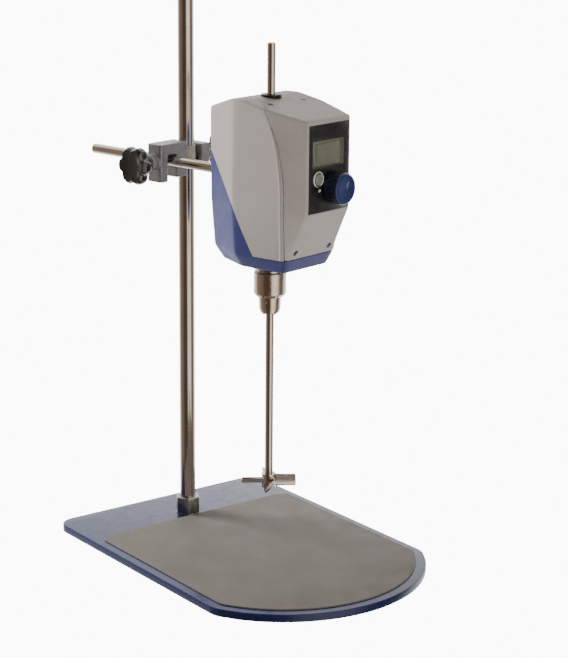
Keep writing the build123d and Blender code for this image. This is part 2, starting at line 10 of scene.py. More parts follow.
import bmesh
import bpy
import numpy as np
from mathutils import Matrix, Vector


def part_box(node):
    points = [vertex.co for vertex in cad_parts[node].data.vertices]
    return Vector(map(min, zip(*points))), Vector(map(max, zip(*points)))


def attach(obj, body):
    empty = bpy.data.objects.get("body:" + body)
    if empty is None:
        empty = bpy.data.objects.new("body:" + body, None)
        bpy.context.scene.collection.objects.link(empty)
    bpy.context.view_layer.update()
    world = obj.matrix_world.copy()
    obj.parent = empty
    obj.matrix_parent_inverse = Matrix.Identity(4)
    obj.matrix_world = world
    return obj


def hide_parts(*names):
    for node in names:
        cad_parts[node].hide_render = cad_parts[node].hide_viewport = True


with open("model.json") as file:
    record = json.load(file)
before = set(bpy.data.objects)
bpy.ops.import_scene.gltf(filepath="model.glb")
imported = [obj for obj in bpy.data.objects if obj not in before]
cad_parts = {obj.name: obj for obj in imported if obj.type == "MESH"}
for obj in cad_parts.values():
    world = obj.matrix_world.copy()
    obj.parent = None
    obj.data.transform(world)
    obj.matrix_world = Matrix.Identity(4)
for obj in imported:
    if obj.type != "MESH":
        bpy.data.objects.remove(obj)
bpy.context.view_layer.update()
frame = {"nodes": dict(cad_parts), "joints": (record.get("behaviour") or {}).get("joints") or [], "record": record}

MM = 0.001
PANEL_FACE = -72.6
KNOB_DEEP = 16.4
EDGE_STEPS = 3
EDGE_CREASE = 28.0
JOINTS = {joint["name"]: joint for joint in frame["joints"]}


# --- frames -------------------------------------------------------------------------------------------
def local(at, x, y, z):
    """A frame of its own: its origin in metres, and its three directions as rows."""
    return np.array(at, float), np.array((x, y, z), float)


def to_row(points, where):
    """Points in millimetres in a frame of their own, moved to the row frame in metres: at + p.axes."""
    at, axes = where
    return at + (np.asarray(points, float) @ axes) * MM


def facing(where, at_mm, direction):
    """A frame at a point of another frame, whose z looks along direction there and whose x stays level."""
    at, axes = where
    z = np.asarray(direction, float) @ axes
    z = z / np.linalg.norm(z)
    x = np.cross((0.0, 0.0, 1.0), z)
    x = axes[0] if np.linalg.norm(x) < 1e-6 else x / np.linalg.norm(x)
    return to_row(at_mm, where), np.array((x, np.cross(z, x), z))


UP = np.array((0.0, 0.0, 1.0))
ALONG_ROD = np.array(JOINTS["head_tilt"]["axis"], float)
ACROSS = np.cross(ALONG_ROD, UP)
ROW = local((0, 0, 0), (1, 0, 0), (0, 1, 0), UP)
HEAD = local(JOINTS["head_tilt"]["pos_m"], ACROSS, ALONG_ROD, UP)
CLAMP = local(JOINTS["clamp_swivel"]["pos_m"], ACROSS, ALONG_ROD, UP)


# --- meshes -------------------------------------------------------------------------------------------
def piece(name, points, faces, body, node=None, finish=None, sharp=32.0):
    """A new piece from points in metres and faces, closed, facing outwards, riding on a body."""
    mesh = bpy.data.meshes.new(name)
    mesh.from_pydata(np.asarray(points, float).reshape(-1, 3).tolist(), [], [list(f) for f in faces])
    return dressed(name, mesh, body, node, finish, sharp)


def dressed(name, mesh, body, node, finish, sharp):
    """Cleans a mesh, shades it smooth between creases, and hangs it on its body in place of its CAD node."""
    work = bmesh.new()
    work.from_mesh(mesh)
    bmesh.ops.remove_doubles(work, verts=work.verts, dist=1e-6)
    bmesh.ops.dissolve_degenerate(work, edges=work.edges, dist=1e-7)
    bmesh.ops.recalc_face_normals(work, faces=work.faces)
    work.to_mesh(mesh)
    work.free()
    mesh.shade_smooth()
    mesh.set_sharp_from_angle(angle=math.radians(sharp))
    thing = bpy.data.objects.new(name, mesh)
    bpy.context.scene.collection.objects.link(thing)
    if finish is not None:
        mesh.materials.append(finish)
    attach(thing, body)
    if node is not None:
        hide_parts(node)
    return thing


def grid_faces(rows, columns, close_rows=False, close_columns=True):
    """Quads between neighbouring rows and columns of a grid of points; closing joins the last to the first."""
    r = np.arange(rows if close_rows else rows - 1)
    c = np.arange(columns if close_columns else columns - 1)
    a, b = np.meshgrid(r, c, indexing="ij")
    a, b = a.ravel(), b.ravel()
    up, on = (a + 1) % rows, (b + 1) % columns
    return np.stack([a * columns + b, a * columns + on, up * columns + on, up * columns + b], 1)


def eased(profile, radius, steps=4, closed=False):
    """Rounds each corner of a line of points: p(t) = (1-t)^2 a + 2t(1-t) corner + t^2 b, with a and b on the
    two sides, radius away or less."""
    points = np.asarray(profile, float)
    count = len(points)
    inner = range(count) if closed else range(1, count - 1)
    t = np.linspace(0, 1, steps + 1)[:, None]
    made = [] if closed else [points[:1]]
    for i in inner:
        before, corner, after = points[i - 1], points[i], points[(i + 1) % count]
        back, on = before - corner, after - corner
        long_back, long_on = np.linalg.norm(back), np.linalg.norm(on)
        reach = min(radius, 0.45 * long_back, 0.45 * long_on)
        a, b = corner + back / long_back * reach, corner + on / long_on * reach
        made.append((1 - t) ** 2 * a + 2 * t * (1 - t) * corner + t**2 * b)
    if not closed:
        made.append(points[-1:])
    return np.concatenate(made)


def lathe(name, profile, where, body, node, finish, turns=96, closed=False, swell=None, sharp=32.0):
    """Profile of (radius, height) turned about z: p = (r cos a, r sin a, h). swell(a, r, h) gives a new radius."""
    profile = np.asarray(profile, float)
    angle = np.linspace(0, 2 * math.pi, turns, endpoint=False)
    r, a = np.meshgrid(profile[:, 0], angle, indexing="ij")
    h = np.repeat(profile[:, 1:2], turns, axis=1)
    if swell is not None:
        r = swell(a, r, h)
    points = np.stack([r * np.cos(a), r * np.sin(a), h], -1)
    faces = grid_faces(len(profile), turns, close_rows=closed)
    return piece(name, to_row(points, where), faces, body, node, finish, sharp)


def slab(name, outline, low, high, edge, where, body, node, finish, steps=5):
    """Outline drawn up from low to high, its rims rounded: each level is drawn in by edge(1 - sin t) along the
    outline's own normals, and rises by edge(1 - cos t)."""
    outline = np.asarray(outline, float)
    tangent = np.roll(outline, -1, 0) - np.roll(outline, 1, 0)
    tangent /= np.linalg.norm(tangent, axis=1)[:, None]
    outward = np.stack([tangent[:, 1], -tangent[:, 0]], 1)
    t = np.linspace(0, math.pi / 2, steps)
    draw = edge * (1 - np.sin(t))
    rise = edge * (1 - np.cos(t))
    inset = np.concatenate([draw, draw[::-1]])
    level = np.concatenate([low + rise, (high - rise)[::-1]])
    flat = outline[None] - outward[None] * inset[:, None, None]
    points = np.concatenate([flat, np.broadcast_to(level[:, None, None], flat.shape[:2] + (1,))], -1)
    count = len(outline)
    faces = [tuple(f) for f in grid_faces(len(level), count)]
    faces.append(tuple(range(count))[::-1])
    faces.append(tuple(range((len(level) - 1) * count, len(level) * count)))
    return piece(name, to_row(points, where), faces, body, node, finish)


def settled(thing, sharp):
    """Applies what modifiers a piece has, so that its mesh is final."""
    graph = bpy.context.evaluated_depsgraph_get()
    mesh = bpy.data.meshes.new_from_object(thing.evaluated_get(graph))
    thing.modifiers.clear()
    thing.data = mesh
    mesh.shade_smooth()
    mesh.set_sharp_from_angle(angle=math.radians(sharp))


def eased_copy(node, body, finish, edge):
    """The CAD node's own shape with its edges broken by a small round, as machining or moulding leaves them."""
    mesh = frame["nodes"][node].data.copy()
    mesh.materials.clear()
    work = bmesh.new()
    work.from_mesh(mesh)
    bmesh.ops.remove_doubles(work, verts=work.verts, dist=2e-6)
    flat = math.radians(1.0)
    bmesh.ops.dissolve_limit(work, angle_limit=flat, verts=work.verts, edges=work.edges)
    work.to_mesh(mesh)
    work.free()
    thing = bpy.data.objects.new(f"{node}_finished", mesh)
    bpy.context.scene.collection.objects.link(thing)
    mesh.materials.append(finish)
    bevel = thing.modifiers.new("edge", "BEVEL")
    bevel.width = edge * MM
    bevel.segments = EDGE_STEPS
    bevel.limit_method = "ANGLE"
    bevel.angle_limit = math.radians(EDGE_CREASE)
    bevel.use_clamp_overlap = True
    settled(thing, 40.0)
    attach(thing, body)
    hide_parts(node)


def clipped(points, triangles, field):
    """The part of a triangle mesh where field is below zero. An edge that crosses zero is cut where its two
    values balance, p = a + (b - a) fa / (fa - fb), and both its triangles share that point."""
    value = field(points)
    inside = value < 0
    count = inside[triangles].sum(1)

    def odd_first(rows, odd):
        pick = (np.argmax(odd, 1)[:, None] + np.arange(3)) % 3
        return np.take_along_axis(rows, pick, 1)

    one = triangles[count == 1]
    one = odd_first(one, inside[one])
    two = triangles[count == 2]
    two = odd_first(two, ~inside[two])
    pairs = np.concatenate([one[:, [0, 1]], one[:, [0, 2]], two[:, [0, 1]], two[:, [0, 2]]])
    pairs = np.sort(pairs, 1)
    unique, back = np.unique(pairs, axis=0, return_inverse=True)
    back = back.ravel()
    a, b = unique[:, 0], unique[:, 1]
    share = (value[a] / (value[a] - value[b]))[:, None]
    cut = points[a] + (points[b] - points[a]) * share
    new = len(points) + back
    n1, n2 = len(one), len(two)
    ab, ac = new[:n1], new[n1 : 2 * n1]
    tb, tc = new[2 * n1 : 2 * n1 + n2], new[2 * n1 + n2 :]
    made = [
        triangles[count == 3],
        np.stack([one[:, 0], ab, ac], 1),
        np.stack([tb, two[:, 1], two[:, 2]], 1),
        np.stack([tb, two[:, 2], tc], 1),
    ]
    kept = np.concatenate(made)
    used, renumbered = np.unique(kept, return_inverse=True)
    return np.concatenate([points, cut])[used], renumbered.reshape(kept.shape)


# --- materials ----------------------------------------------------------------------------------------
SLOTS = {part["node"]: part["material_slot"] for part in frame["record"]["subparts"]}


def linear(hex_colour):
    """sRGB hex to linear: c / 12.92 below 0.04045, else ((c + 0.055) / 1.055)^2.4."""
    s = np.array([int(hex_colour[i : i + 2], 16) for i in (1, 3, 5)]) / 255
    c = np.where(s <= 0.04045, s / 12.92, ((s + 0.055) / 1.055) ** 2.4)
    return (*c.tolist(), 1.0)


def add(tree, kind, settings=(), links=()):
    """Adds one shader node. settings are its sockets' or its own values, links the outputs that feed it."""
    node = tree.nodes.new("ShaderNode" + kind)
    for key, value in dict(settings).items():
        if isinstance(key, int) or key in node.inputs:
            node.inputs[key].default_value = value
        else:
            setattr(node, key, value)
    for key, source in dict(links).items():
        tree.links.new(source, node.inputs[key])
    return node


def started(name, **sockets):
    """A new material with its shader's constant sockets set, and the object's own coordinates."""
    made = bpy.data.materials.new(name)
    made.use_nodes = True
    tree = made.node_tree
    shader = tree.nodes["Principled BSDF"]
    for key, value in sockets.items():
        shader.inputs[key.replace("_", " ")].default_value = value
    return made, tree, shader, add(tree, "TexCoord").outputs["Object"]


def per_mm(size_mm):
    """Noise scale whose features are about size_mm across, in a metre frame."""
    return 1.0 / (size_mm * MM)


def mottled(tree, where, size_mm, low, high, shader, socket, detail=3.0, rough=0.55):
    """Feeds a socket with a noise spread between two values or two colours; returns the noise."""
    look = {"Scale": per_mm(size_mm), "Detail": detail, "Roughness": rough}
    noise = add(tree, "TexNoise", look, {"Vector": where})
    if isinstance(low, str):
        mix = add(tree, "Mix", {"data_type": "RGBA"}, {"Factor": noise.outputs["Fac"]})
        mix.inputs[6].default_value = linear(low)
        mix.inputs[7].default_value = linear(high)
        tree.links.new(mix.outputs[2], shader.inputs[socket])
    else:
        spread = {"From Min": 0.3, "From Max": 0.7, "To Min": low, "To Max": high}
        mapped = add(tree, "MapRange", spread, {"Value": noise.outputs["Fac"]})
        tree.links.new(mapped.outputs["Result"], shader.inputs[socket])
    return noise


def raised(tree, height, depth_mm, shader, strength=1.0, under=None):
    """Bump from a height in 0..1 that stands depth_mm high, on top of another bump if there is one."""
    links = {"Height": height}
    if under is not None:
        links["Normal"] = under.outputs["Normal"]
    bump = add(tree, "Bump", {"Strength": strength, "Distance": depth_mm * MM}, links)
    tree.links.new(bump.outputs["Normal"], shader.inputs["Normal"])
    return bump


def stretched(tree, where, along, across_mm, long_mm):
    """Coordinates for a grain that runs along one axis: fine across it, long beside it."""
    fine, far = per_mm(across_mm), per_mm(long_mm)
    scale = tuple(far if axis == along else fine for axis in range(3))
    return add(tree, "Mapping", {"Scale": scale}, {"Vector": where}).outputs["Vector"]


def moulded_abs(name, pale, deep, roughness=0.48, grain_mm=0.9):
    """ABS from a spark-eroded mould: an even satin skin with a fine leathery grain and faint cloudiness."""
    made, tree, shader, where = started(name, IOR=1.52, Specular_IOR_Level=0.42)
    mottled(tree, where, 38.0, deep, pale, shader, "Base Color", detail=2.0)
    mottled(tree, where, 9.0, roughness - 0.05, roughness + 0.06, shader, "Roughness")
    grain = add(tree, "TexNoise", {"Scale": per_mm(grain_mm), "Detail": 4.0}, {"Vector": where})
    raised(tree, grain.outputs["Fac"], 0.05, shader, strength=0.55)
    return made


def polished_stainless(name, along=2, tint="#cfc8bf", deep="#b9b0a6", roughness=0.13):
    """Centreless-ground and polished stainless bar: mirror-like, with fine lines along it that blur the shine."""
    made, tree, shader, where = started(name, Metallic=1.0)
    grain = stretched(tree, where, along, 0.5, 60.0)
    mottled(tree, where, 30.0, deep, tint, shader, "Base Color", detail=2.0)
    line = add(tree, "TexNoise", {"Scale": 1.0, "Detail": 3.0}, {"Vector": grain})
    spread = {"From Min": 0.3, "From Max": 0.7, "To Min": roughness - 0.04, "To Max": roughness + 0.07}
    mapped = add(tree, "MapRange", spread, {"Value": line.outputs["Fac"]})
    tree.links.new(mapped.outputs["Result"], shader.inputs["Roughness"])
    raised(tree, line.outputs["Fac"], 0.004, shader, strength=0.5)
    return made


def ground_steel(name, pale, deep, roughness=0.3, ring_mm=0.35):
    """Turned or ground steel: fine rings about its axis, and patches that are a little duller."""
    made, tree, shader, where = started(name, Metallic=1.0)
    mottled(tree, where, 7.0, deep, pale, shader, "Base Color")
    mottled(tree, where, 4.0, roughness - 0.07, roughness + 0.09, shader, "Roughness")
    ringed = stretched(tree, where, 2, 14.0, ring_mm)
    rings = add(tree, "TexNoise", {"Scale": 1.0, "Detail": 2.0}, {"Vector": ringed})
    raised(tree, rings.outputs["Fac"], 0.01, shader, strength=0.5)
    return made


def cast_metal(name, pale, deep, roughness=0.5):
    """Sand-cast, tumbled and nickel-plated iron: a dull grey skin, pebbled like orange peel, with darker pits."""
    made, tree, shader, where = started(name, Metallic=0.85)
    mottled(tree, where, 6.0, deep, pale, shader, "Base Color", detail=6.0, rough=0.65)
    mottled(tree, where, 3.0, roughness - 0.12, roughness + 0.14, shader, "Roughness")
    pebbles = add(tree, "TexNoise", {"Scale": per_mm(1.6), "Detail": 4.0}, {"Vector": where})
    under = raised(tree, pebbles.outputs["Fac"], 0.18, shader, strength=0.7)
    pits = add(tree, "TexVoronoi", {"Scale": per_mm(3.2)}, {"Vector": where})
    raised(tree, pits.outputs["Distance"], 0.12, shader, strength=0.35, under=under)
    return made


def bakelite_black():
    """Phenolic knob, compression-moulded and buffed: deep black with a wet gloss and faint swirls."""
    made, tree, shader, where = started("bakelite_black", IOR=1.6, Coat_Weight=0.6, Coat_Roughness=0.06)
    mottled(tree, where, 5.0, "#0b0a0a", "#181615", shader, "Base Color", detail=5.0)
    mottled(tree, where, 2.5, 0.16, 0.3, shader, "Roughness")
    swirl = add(tree, "TexNoise", {"Scale": per_mm(2.2), "Detail": 5.0, "Distortion": 1.2}, {"Vector": where})
    raised(tree, swirl.outputs["Fac"], 0.03, shader, strength=0.4)
    return made


def powder_coat_blue():
    """Thick epoxy coat on steel plate: deep blue, glossy, with the slow ripple of orange peel."""
    skin = {"IOR": 1.45, "Specular_IOR_Level": 0.4, "Coat_Weight": 0.12, "Coat_Roughness": 0.1}
    made, tree, shader, where = started("powder_coat_blue", **skin)
    mottled(tree, where, 60.0, "#15204e", "#1b285c", shader, "Base Color", detail=2.0)
    mottled(tree, where, 12.0, 0.24, 0.36, shader, "Roughness")
    peel = add(tree, "TexNoise", {"Scale": per_mm(2.4), "Detail": 2.0}, {"Vector": where})
    raised(tree, peel.outputs["Fac"], 0.06, shader, strength=0.35)
    return made


def rubber_mat_grey():
    """Calendered rubber sheet, warm grey: matt, a fine pebbled grain, and faint paler scuffs from vessels."""
    made, tree, shader, where = started("rubber_mat_grey", IOR=1.5, Specular_IOR_Level=0.3)
    mottled(tree, where, 70.0, "#7c7671", "#8c857f", shader, "Base Color", detail=3.0)
    mottled(tree, where, 25.0, 0.62, 0.78, shader, "Roughness")
    fine = add(tree, "TexNoise", {"Scale": per_mm(1.1), "Detail": 3.0}, {"Vector": where})
    under = raised(tree, fine.outputs["Fac"], 0.12, shader, strength=0.6)
    pebble = add(tree, "TexVoronoi", {"Scale": per_mm(1.8)}, {"Vector": where})
    raised(tree, pebble.outputs["Distance"], 0.1, shader, strength=0.4, under=under)
    return made


def plain_rubber(name, pale="#1b1b1c", deep="#111112", grain_mm=0.8):
    """Moulded black rubber: matt, with a dusty bloom in patches."""
    made, tree, shader, where = started(name, IOR=1.5, Specular_IOR_Level=0.35)
    mottled(tree, where, 9.0, deep, pale, shader, "Base Color")
    mottled(tree, where, 5.0, 0.6, 0.8, shader, "Roughness")
    grain = add(tree, "TexNoise", {"Scale": per_mm(grain_mm), "Detail": 3.0}, {"Vector": where})
    raised(tree, grain.outputs["Fac"], 0.05, shader, strength=0.5)
    return made


def printed_film_black():
    """Polyester overlay, printed black from behind: flat satin, with the weak orange peel of its glue."""
    made, tree, shader, where = started("printed_film_black", IOR=1.57)
    mottled(tree, where, 18.0, "#16181b", "#1f2225", shader, "Base Color")
    mottled(tree, where, 8.0, 0.26, 0.38, shader, "Roughness")
    peel = add(tree, "TexNoise", {"Scale": per_mm(3.0), "Detail": 2.0}, {"Vector": where})
    raised(tree, peel.outputs["Fac"], 0.03, shader, strength=0.3)
    return made


def clear_acrylic():
    """Cast acrylic window: clear, polished, with hairline scratches that catch the light."""
    made, tree, shader, where = started("clear_acrylic", IOR=1.49, Alpha=0.22, Base_Color=linear("#a4a896"))
    mottled(tree, where, 1.2, 0.05, 0.13, shader, "Roughness", detail=5.0)
    scratch = add(tree, "TexNoise", {"Scale": 1.0, "Detail": 4.0}, {"Vector": stretched(tree, where, 2, 0.6, 14.0)})
    raised(tree, scratch.outputs["Fac"], 0.006, shader, strength=0.3)
    return made


def lcd_glass():
    """Reflective liquid-crystal cell with no segments lit: olive grey, a little uneven where its glue sits."""
    made, tree, shader, where = started("lcd_glass", IOR=1.52, Specular_IOR_Level=0.4)
    mottled(tree, where, 16.0, "#75776a", "#868879", shader, "Base Color", detail=2.0)
    mottled(tree, where, 6.0, 0.3, 0.42, shader, "Roughness")
    return made


def circuit_board():
    """Glass-fibre board under green solder mask: satin, with copper tracks faintly proud beneath it."""
    made, tree, shader, where = started("circuit_board", IOR=1.5)
    mottled(tree, where, 6.0, "#0d3d22", "#175c34", shader, "Base Color", detail=2.0)
    mottled(tree, where, 3.0, 0.32, 0.5, shader, "Roughness")
    tracks = add(tree, "TexVoronoi", {"Scale": per_mm(2.5), "feature": "DISTANCE_TO_EDGE"}, {"Vector": where})
    raised(tree, tracks.outputs["Distance"], 0.05, shader, strength=0.5)
    return made


def knob_blue():
    """Blue ABS knob: its cap is satin blue, and its gripped skirt is coloured nearly black as painted shade for its
    side wall in shadow.
    """
    made = moulded_abs("abs_knob_blue", "#22356f", "#1a2a5e", roughness=0.3, grain_mm=0.6)
    tree = made.node_tree
    shader = tree.nodes["Principled BSDF"]
    colour = shader.inputs["Base Color"].links[0].from_socket
    where = tree.nodes["Texture Coordinate"].outputs["Object"]
    face = (HEAD[0] @ HEAD[1][1]) + (PANEL_FACE - KNOB_DEEP + 1.4) * MM
    out = add(tree, "VectorMath", {"operation": "DOT_PRODUCT", 1: tuple(HEAD[1][1])}, {0: where})
    step = {"From Min": face - 0.0004, "From Max": face + 0.0004}
    skirt = add(tree, "MapRange", step, {"Value": out.outputs["Value"]})
    mix = add(tree, "Mix", {"data_type": "RGBA"}, {"Factor": skirt.outputs["Result"], 6: colour})
    # painted shade: everything below the cap's face is coloured near-black, standing in for the shadow on the
    # knob's side wall
    mix.inputs[7].default_value = linear("#101833")
    tree.links.new(mix.outputs[2], shader.inputs["Base Color"])
    return made


def white_ring():
    """Bright-dipped aluminium ring round a key: nearly white, soft-edged shine, faint turning marks."""
    return ground_steel("bright_aluminium_ring", "#f0efec", "#dcdad6", roughness=0.3)


MATERIALS = {
    "enamel_blue": powder_coat_blue(),
    "mat_rubber": rubber_mat_grey(),
    "foot_rubber": plain_rubber("foot_rubber"),
    "polished_steel": polished_stainless("polished_stainless_upright"),
    "plain_steel": ground_steel("zinc_plated_steel", "#b9b9b6", "#8f908f", roughness=0.32),
    "cap_plastic": moulded_abs("polythene_black", "#1d1d1f", "#141415", roughness=0.5),
    "nylon": moulded_abs("natural_nylon", "#d8d4c6", "#c9c4b4", roughness=0.45),
    "cast_grey": cast_metal("cast_nickel_grey", "#b8b9bb", "#8b8c8f"),
    "knob_black": bakelite_black(),
    "cover_grey": moulded_abs("abs_warm_grey", "#bdb5b0", "#b4aca8"),
    "cover_light": moulded_abs("abs_warm_grey_front", "#c6beb9", "#bdb5b0"),
    "base_blue": moulded_abs("abs_blue", "#3f4684", "#363d77", roughness=0.42),
    "panel_black": printed_film_black(),
    "window_clear": clear_acrylic(),
    "bezel_chrome": white_ring(),
    "led_clear": moulded_abs("led_diffuser", "#e8e2c8", "#d9d3bb", roughness=0.3),
    "speed_blue": knob_blue(),
    "board_green": circuit_board(),
    "lcd_grey": lcd_glass(),
    "switch_black": moulded_abs("abs_black", "#1b1b1d", "#121213", roughness=0.4),
    "screw_black": ground_steel("black_oxide_steel", "#38383a", "#232325", roughness=0.38),
    "key_grey": moulded_abs("key_grey", "#9a9a95", "#8c8c88", roughness=0.4),
    "die_cast": cast_metal("die_cast_aluminium", "#b5b6b8", "#96989b", roughness=0.42),
    "bearing_steel": ground_steel("bearing_steel", "#c2c1be", "#a3a3a1", roughness=0.22),
    "belt_rubber": plain_rubber("belt_rubber"),
    "motor_paint": cast_metal("motor_enamel_black", "#2b2b2d", "#1c1c1e", roughness=0.45),
    "chuck_steel": ground_steel("chuck_steel_oiled", "#d8ccbf", "#b4a698", roughness=0.2),
}
POLISHED_LEVEL = polished_stainless("polished_stainless_level", along=1)


def finish_of(node):
    return MATERIALS[SLOTS[node]]


def body_of(node):
    """The body that a CAD node rides on."""
    return next(name for name, nodes in frame["record"]["behaviour"]["bodies"].items() if node in nodes)


for node_name, node_object in frame["nodes"].items():
    node_object.data.materials.clear()
    node_object.data.materials.append(finish_of(node_name))


# --- drive head: its skin -----------------------------------------------------------------------------
# Half-sections of the head at rising levels, in its own frame: x to its right, y to its back.
LEVELS = np.array((-82.0, -69.0, -23.0, 28.0, 59.0, 82.0))
FACE_HALF = np.array((28.0, 32.0, 30.5, 30.5, 30.5, 30.5))
FACE_Y = np.array((-45.0, -50.0, -72.0, -72.0, -72.0, -72.0))
SEAM_HALF = np.array((31.0, 36.0, 43.0, 43.0, 42.5, 41.0))
SIDE_HALF = np.array((34.0, 41.5, 43.5, 43.0, 42.0, 40.0))
SIDE_Y = np.array((6.0, 8.0, 10.0, 10.0, 10.0, 10.0))
BACK_HALF = np.array((19.0, 23.0, 26.0, 26.5, 27.0, 27.0))
BACK_Y = np.array((43.0, 52.0, 54.0, 54.0, 54.0, 52.0))
SEAM_FRONT = -53.5
SEAM_SWEEP = 30.0
TOP_Z = 78.0
TOP_LINE = ((-90.0, -72.0, 0.0, 16.0, 54.0, 80.0), (60.5, 64.0, 78.0, 78.0, 66.0, 57.8))
BAND_TOP = -69.0
RAKE_TOP = -23.0
HEART = np.array((0.0, -10.0, -5.0))
CORNER_SHARPNESS = 85.0
SEAM_GAP = 0.45
WALL = 2.2


def seam_line(z):
    """The side seam: straight up the front, then sweeping back by the 2.7th power of the rise."""
    rise = np.clip((z - RAKE_TOP) / (TOP_Z - RAKE_TOP), 0, None)
    leaned = np.interp(z, (BAND_TOP, RAKE_TOP), (-49.0, SEAM_FRONT))
    return np.where(z < RAKE_TOP, leaned, SEAM_FRONT + SEAM_SWEEP * rise**2.7)


def between(z, values, reach=2.5):
    """Straight between the levels, each bend softened: the mean of seven samples over reach either side."""
    return np.mean([np.interp(z + s, LEVELS, values) for s in np.linspace(-reach, reach, 7)], axis=0)


def fullness(p):
    """1 on the head's skin and less inside it. Each flat face gives the share of the way out to it, and the
    shares join as (sum share^k)^(1/k), which rounds every edge."""
    x, y, z = np.abs(p[..., 0]), p[..., 1] - HEART[1], p[..., 2]
    corners = [
        (between(z, FACE_HALF), between(z, FACE_Y)),
        (between(z, SEAM_HALF), between(z, np.maximum(seam_line(LEVELS), FACE_Y + 1.0))),
        (between(z, SIDE_HALF), between(z, SIDE_Y)),
        (between(z, BACK_HALF), between(z, BACK_Y)),
    ]
    shares = [-y / (HEART[1] - corners[0][1]), y / (corners[3][1] - HEART[1])]
    for (x0, y0), (x1, y1) in zip(corners[:-1], corners[1:]):
        out_x, out_y = y1 - y0, x0 - x1
        shares.append((out_x * x + out_y * y) / (out_x * x0 + out_y * (y0 - HEART[1])))
    h = z - HEART[2]
    top = np.mean([np.interp(p[..., 1] + s, *TOP_LINE) for s in np.linspace(-4, 4, 7)], axis=0)
    shares.append(h / (top - HEART[2]))
    shares.append(-h / (HEART[2] - LEVELS[0]))
    total = sum(np.clip(share, 0, None) ** CORNER_SHARPNESS for share in shares)
    return total ** (1 / CORNER_SHARPNESS)


def reached(start, direction, far=170.0):
    """Where a ray meets the skin: the stretch that holds the crossing is halved 36 times."""
    low = np.zeros(direction.shape[:-1])
    high = np.full(low.shape, far)
    for _ in range(36):
        mid = (low + high) / 2
        out = fullness(start + direction * mid[..., None]) > 1
        low, high = np.where(out, low, mid), np.where(out, mid, high)
    return start + direction * low[..., None]


def skin_out(p, lift):
    """Points on the skin moved outwards by lift, along the slope of fullness."""
    step = 0.05
    slope = np.stack([fullness(p + d) - fullness(p - d) for d in np.eye(3) * step], -1)
    return p + slope / np.linalg.norm(slope, axis=-1, keepdims=True) * np.asarray(lift)[..., None]


def ahead_of_seam(p):
    """Below zero on the front cover: ahead of the seam, on the raked face, or on the tongue on top."""
    x, y, z = np.abs(p[:, 0]), p[:, 1], p[:, 2]
    front = np.maximum(y - seam_line(z), BAND_TOP - z)
    raked = np.max([x - 33.0, BAND_TOP - z, z - RAKE_TOP, y + 40.0], axis=0)
    half = np.interp(y, (-32.0, -27.0, 2.0, 15.0), (37.0, 37.0, 17.0, 17.0))
    tongue = np.max([x - half, y - 15.0, 62.0 - z], axis=0)
    return np.min([front, raked, tongue], axis=0)


def below_split(p):
    """Below zero on the blue base: under the band's top, or under the raked line up the back."""
    y, z = p[:, 1], p[:, 2]
    band = z - BAND_TOP
    steep = (24.0 * (z - BAND_TOP) - 47.0 * (y + 13.0)) / math.hypot(24.0, 47.0)
    upper = (42.0 * (z + 22.0) - 47.0 * (y - 11.0)) / math.hypot(42.0, 47.0)
    return np.minimum(band, np.maximum(steep, upper))


def openings(p):
    """Above zero in a hole: screws, panel, shaft, collar, rod socket, inlet and rocker."""
    x, y, z = np.abs(p[:, 0]), p[:, 1], p[:, 2]
    holes = [
        np.where(z > 60, 3.0 - np.hypot(x - 23.0, y + 20.0), -9.0),
        np.where(y < -45, 3.0 - np.hypot(x - 24.0, (z + 62.0) * 1.1), -9.0),
        np.where(y < -60, np.min([27.6 - x, 59.0 - z, z + 21.9], axis=0), -9.0),
        np.where(z > 60, 9.8 - np.hypot(x, y), -9.0),
        np.where(z < -70, 20.0 - np.hypot(x, y), -9.0),
        np.where(y > 40, 10.3 - np.hypot(x, z), -9.0),
        np.where(y > 40, np.min([13.3 - x, 9.8 - np.abs(z + 46.0)], axis=0), -9.0),
        np.where(y > 40, np.min([10.2 - x, 6.7 - np.abs(z + 20.5)], axis=0), -9.0),
    ]
    return np.max(holes, axis=0)


def head_skin(around=384, rising=264):
    """The whole skin as triangles: rays from the head's heart, evenly spread in bearing and height."""
    bearing = np.linspace(0, 2 * math.pi, around, endpoint=False)
    height = np.linspace(-math.pi / 2, math.pi / 2, rising)
    h, b = np.meshgrid(height, bearing, indexing="ij")
    ray = np.stack([np.cos(h) * np.cos(b), np.cos(h) * np.sin(b), np.sin(h)], -1)
    points = reached(HEART, ray).reshape(-1, 3)
    quads = grid_faces(rising, around)
    return points, np.concatenate([quads[:, [0, 1, 2]], quads[:, [0, 2, 3]]])


def shell(name, skin, field, node):
    """One cover: its part of the skin, thickened inwards."""
    points, triangles = clipped(*skin, field)
    points, triangles = clipped(points, triangles, openings)
    mesh = bpy.data.meshes.new(name)
    mesh.from_pydata(to_row(points, HEAD).tolist(), [], triangles.tolist())
    work = bmesh.new()
    work.from_mesh(mesh)
    bmesh.ops.remove_doubles(work, verts=work.verts, dist=5e-6)
    bmesh.ops.dissolve_degenerate(work, edges=work.edges, dist=5e-6)
    work.to_mesh(mesh)
    work.free()
    thing = bpy.data.objects.new(name, mesh)
    bpy.context.scene.collection.objects.link(thing)
    mesh.materials.append(finish_of(node))
    wall = thing.modifiers.new("wall", "SOLIDIFY")
    wall.thickness = WALL * MM
    wall.offset = -1
    settled(thing, 30.0)
    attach(thing, "head")
    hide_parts(node)


